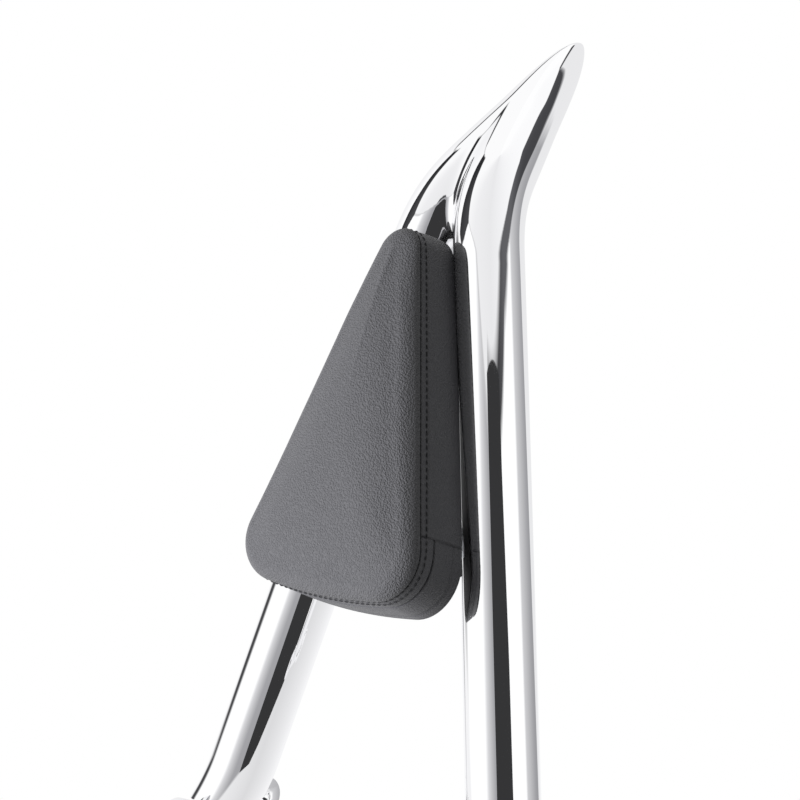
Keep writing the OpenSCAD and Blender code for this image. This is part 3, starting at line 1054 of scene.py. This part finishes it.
def studio():
    """A white light tent as the chrome shows it: walls that fall off to grey, the
    room's darkness over their tops, and a lit ceiling."""
    world = bpy.data.worlds.new("white_tent")
    bpy.context.scene.world = world
    world.use_nodes = True
    tree = world.node_tree
    tree.nodes.clear()
    ray = node(tree, "ShaderNodeTexCoord").outputs["Generated"]
    back = Vector((math.sin(az), -math.cos(az), 0))
    right = Vector((math.cos(az), math.sin(az), 0))

    def along(direction):
        return node(tree, "ShaderNodeVectorMath", {"operation": "DOT_PRODUCT"},
                    i0=ray, i1=tuple(direction)).outputs["Value"]

    side = node(tree, "ShaderNodeMath", {"operation": "ARCTAN2"}, i0=along(right), i1=along(back))
    share = node(tree, "ShaderNodeMapRange", Value=side.outputs[0],
                 **{"From Min": -math.pi, "From Max": math.pi}).outputs["Result"]
    lift = node(tree, "ShaderNodeMath", {"operation": "ARCSINE"}, i0=along(Vector((0, 0, 1))))
    height = node(tree, "ShaderNodeMapRange", Value=lift.outputs[0],
                  **{"From Min": -math.pi / 2, "From Max": math.pi / 2}).outputs["Result"]

    walls = ramp_of(tree, share, [
        (-180, "f0f0f1", 1), (-150, "f8f8f9", 1), (-119, "ffffff", 1.05), (-54, "ffffff", 1.05),
        (-46, "dcdcde", 1), (-36, "c4c4c6", 1), (-24, "a6a6a9", 1), (0, "a2a2a5", 1),
        (12, "ffffff", 1.05), (74, "ffffff", 1.05), (80, "d0d0d2", 1), (97, "bababc", 1),
        (110, "a8a8ab", 1), (120, "9e9ea1", 1), (150, "9c9c9f", 1), (180, "f0f0f1", 1)])
    # The lit panel behind on the right, past the corner of the right wall
    corner = profile(tree, height, [
        (height_angle(h), azimuth(a)) for h, a in (
            (-20, 136), (-16, 134), (-2, 126.5), (6, 122), (10, 119.5), (16, 113),
            (24, 106), (34, 102), (44, 98.5), (55, 96))])
    panel_share = past(tree, share, corner, soft=0.4)
    walls = blend(tree, panel_share, walls, linear("ececed"))
    # A dark opening low behind on the left
    opening = node(tree, "ShaderNodeMath", {"operation": "MULTIPLY"},
                   i0=window(tree, share, azimuth(-141), azimuth(-117), soft=5 / 360),
                   i1=window(tree, height, height_angle(-4), height_angle(10),
                             soft=2.5 / 180))
    walls = blend(tree, opening.outputs[0], walls, linear("48484a"))
    ceiling_edge = skyline(tree, share, [
        (-180, 45), (-160, 44), (-150, 44), (-143, 45), (-136, 50), (-126, 58), (-114, 54),
        (-104, 47), (-92, 37), (-85, 31), (-20, 31), (-19, 33.5), (22, 34.5), (68, 35.5),
        (80, 38), (90, 42), (94, 50), (97, 55.5), (108, 57), (126, 58), (138, 56),
        (150, 50), (180, 46)])
    wall_top = skyline(tree, share, [
        (-180, 40), (-160, 38.5), (-150, 40), (-143, 44.5), (-136, 49.5), (-131, 44),
        (-122, 34), (-117, 14), (-106, 14), (-96, 20), (-85, 31), (-20, 31), (-18, 31),
        (22, 31), (48, 30.5), (76, 26), (105, 23.5), (135, 23.5), (141, 54), (150, 49.5),
        (172, 47), (180, 40)])
    dark = ramp_of(tree, share, [
        (-180, "3c3c3e", 1), (-126, "2a2a2c", 1), (-95, "464648", 1), (22, "444446", 1),
        (50, "616164", 1), (80, "626265", 1), (97, "464649", 1), (135, "3c3c3f", 1)])
    over_wall = past(tree, height, wall_top, soft=0.6)
    # Behind the lit panel the darkness is a thin line under the ceiling
    panel_top = past(tree, height, height_angle(51.3), soft=0.8)
    hidden = node(tree, "ShaderNodeMath", {"operation": "SUBTRACT"}, i0=1.0, i1=panel_share)
    seen = node(tree, "ShaderNodeMath", {"operation": "MAXIMUM"}, i0=hidden.outputs[0],
                i1=panel_top)
    in_dark = node(tree, "ShaderNodeMath", {"operation": "MULTIPLY"}, i0=over_wall,
                   i1=seen.outputs[0])
    tone = blend(tree, in_dark.outputs[0], walls, dark)
    ceiling = ramp_of(tree, share, [
        (-180, "ffffff", 1), (-100, "ffffff", 1), (-60, "f2f2f3", 1), (0, "ececed", 1),
        (60, "f8f8f9", 1), (110, "ffffff", 1.03)])
    tone = blend(tree, past(tree, height, ceiling_edge, soft=0.9), tone, ceiling)
    ground_edge = skyline(tree, share, [
        (-180, -3), (-150, -6), (-112, -6), (-60, -12), (-25, -19), (0, -22), (40, -26),
        (90, -25), (120, -20), (180, -3)])
    ground = ramp_of(tree, share, [
        (-180, "ffffff", 1.03), (-110, "f4f4f5", 1), (-20, "ececed", 1), (40, "dededf", 1),
        (100, "ececed", 1), (150, "f8f8f9", 1)])
    tone = blend(tree, past(tree, height, ground_edge, soft=1.2), ground, tone)
    # The camera itself sees the photo's plain white
    shown = node(tree, "ShaderNodeLightPath").outputs["Is Camera Ray"]
    tone = blend(tree, shown, tone, (1, 1, 1, 1))
    light = node(tree, "ShaderNodeBackground", Color=tone, Strength=1.0)
    out = node(tree, "ShaderNodeOutputWorld")
    tree.links.new(light.outputs[0], out.inputs["Surface"])


# How far in front of the part's axis the dark card stands
CARD_DISTANCE = 1.15


def dark_card():
    """The dark opening round the camera, which the chrome shows as a black stripe."""
    back = Vector((math.sin(az), -math.cos(az), 0)) * CARD_DISTANCE
    right = Vector((math.cos(az), math.sin(az), 0))
    corners = [(-0.282, -0.43), (0.665, -0.63), (0.665, 0.66), (0.53, 0.93), (0.52, 1.08),
               (-0.394, 1.07)]
    mesh = bpy.data.meshes.new("dark_card")
    mesh.from_pydata([back + right * r + Vector((0, 0, z)) for r, z in corners], [],
                     [tuple(range(len(corners)))])
    card = bpy.data.objects.new("dark_card", mesh)
    bpy.context.scene.collection.objects.link(card)
    mat, _, bsdf = new_material("black_cloth")
    bsdf.inputs["Base Color"].default_value = (0, 0, 0, 1)
    bsdf.inputs["Specular IOR Level"].default_value = 0
    bsdf.inputs["Emission Color"].default_value = linear("363637")
    bsdf.inputs["Emission Strength"].default_value = 1.0
    card.data.materials.append(mat)
    card.visible_camera = False
    card.visible_shadow = False


LIGHT_PLACE = Vector((-0.38, -0.88, 0.12))
# The middle of the pad's front, which the light is turned to
LIGHT_AIM = Vector((0, -0.03, 0.24))


def side_light():
    """A soft light low on the left: it draws the front's grain and leaves the side to
    the tent. Its own reflection would spoil the chrome's bands, so it has none."""
    data = bpy.data.lights.new("left_softbox", "AREA")
    data.shape = "RECTANGLE"
    data.size = 0.4
    data.size_y = 0.6
    data.energy = 78
    light = bpy.data.objects.new("left_softbox", data)
    bpy.context.scene.collection.objects.link(light)
    light.location = LIGHT_PLACE
    light.rotation_euler = (LIGHT_AIM - LIGHT_PLACE).to_track_quat("-Z", "Y").to_euler()
    light.visible_glossy = False
    light.visible_camera = False


def hardware():
    """The CAD nodes that stay take finishes of their own."""
    zinc = plain_material("bright_zinc", "c9cbce", 1.0, 0.28)
    finishes = {
        "backing_board": plain_material("plywood", "b48c5e", 0.0, 0.7),
        "rear_panel": plain_material("black_backing_cloth", "1c1c1d", 0.0, 0.8),
        "tee_nuts": zinc, "spacers": zinc, "flat_washers": zinc,
        "lock_washers": zinc, "pad_screws": zinc,
    }
    for name, finish in finishes.items():
        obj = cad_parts[name]
        obj.data.materials.clear()
        obj.data.materials.append(finish)


camera()
studio()
dark_card()
side_light()
bar()
pad()
hardware()
bpy.context.scene.view_settings.view_transform = "Standard"
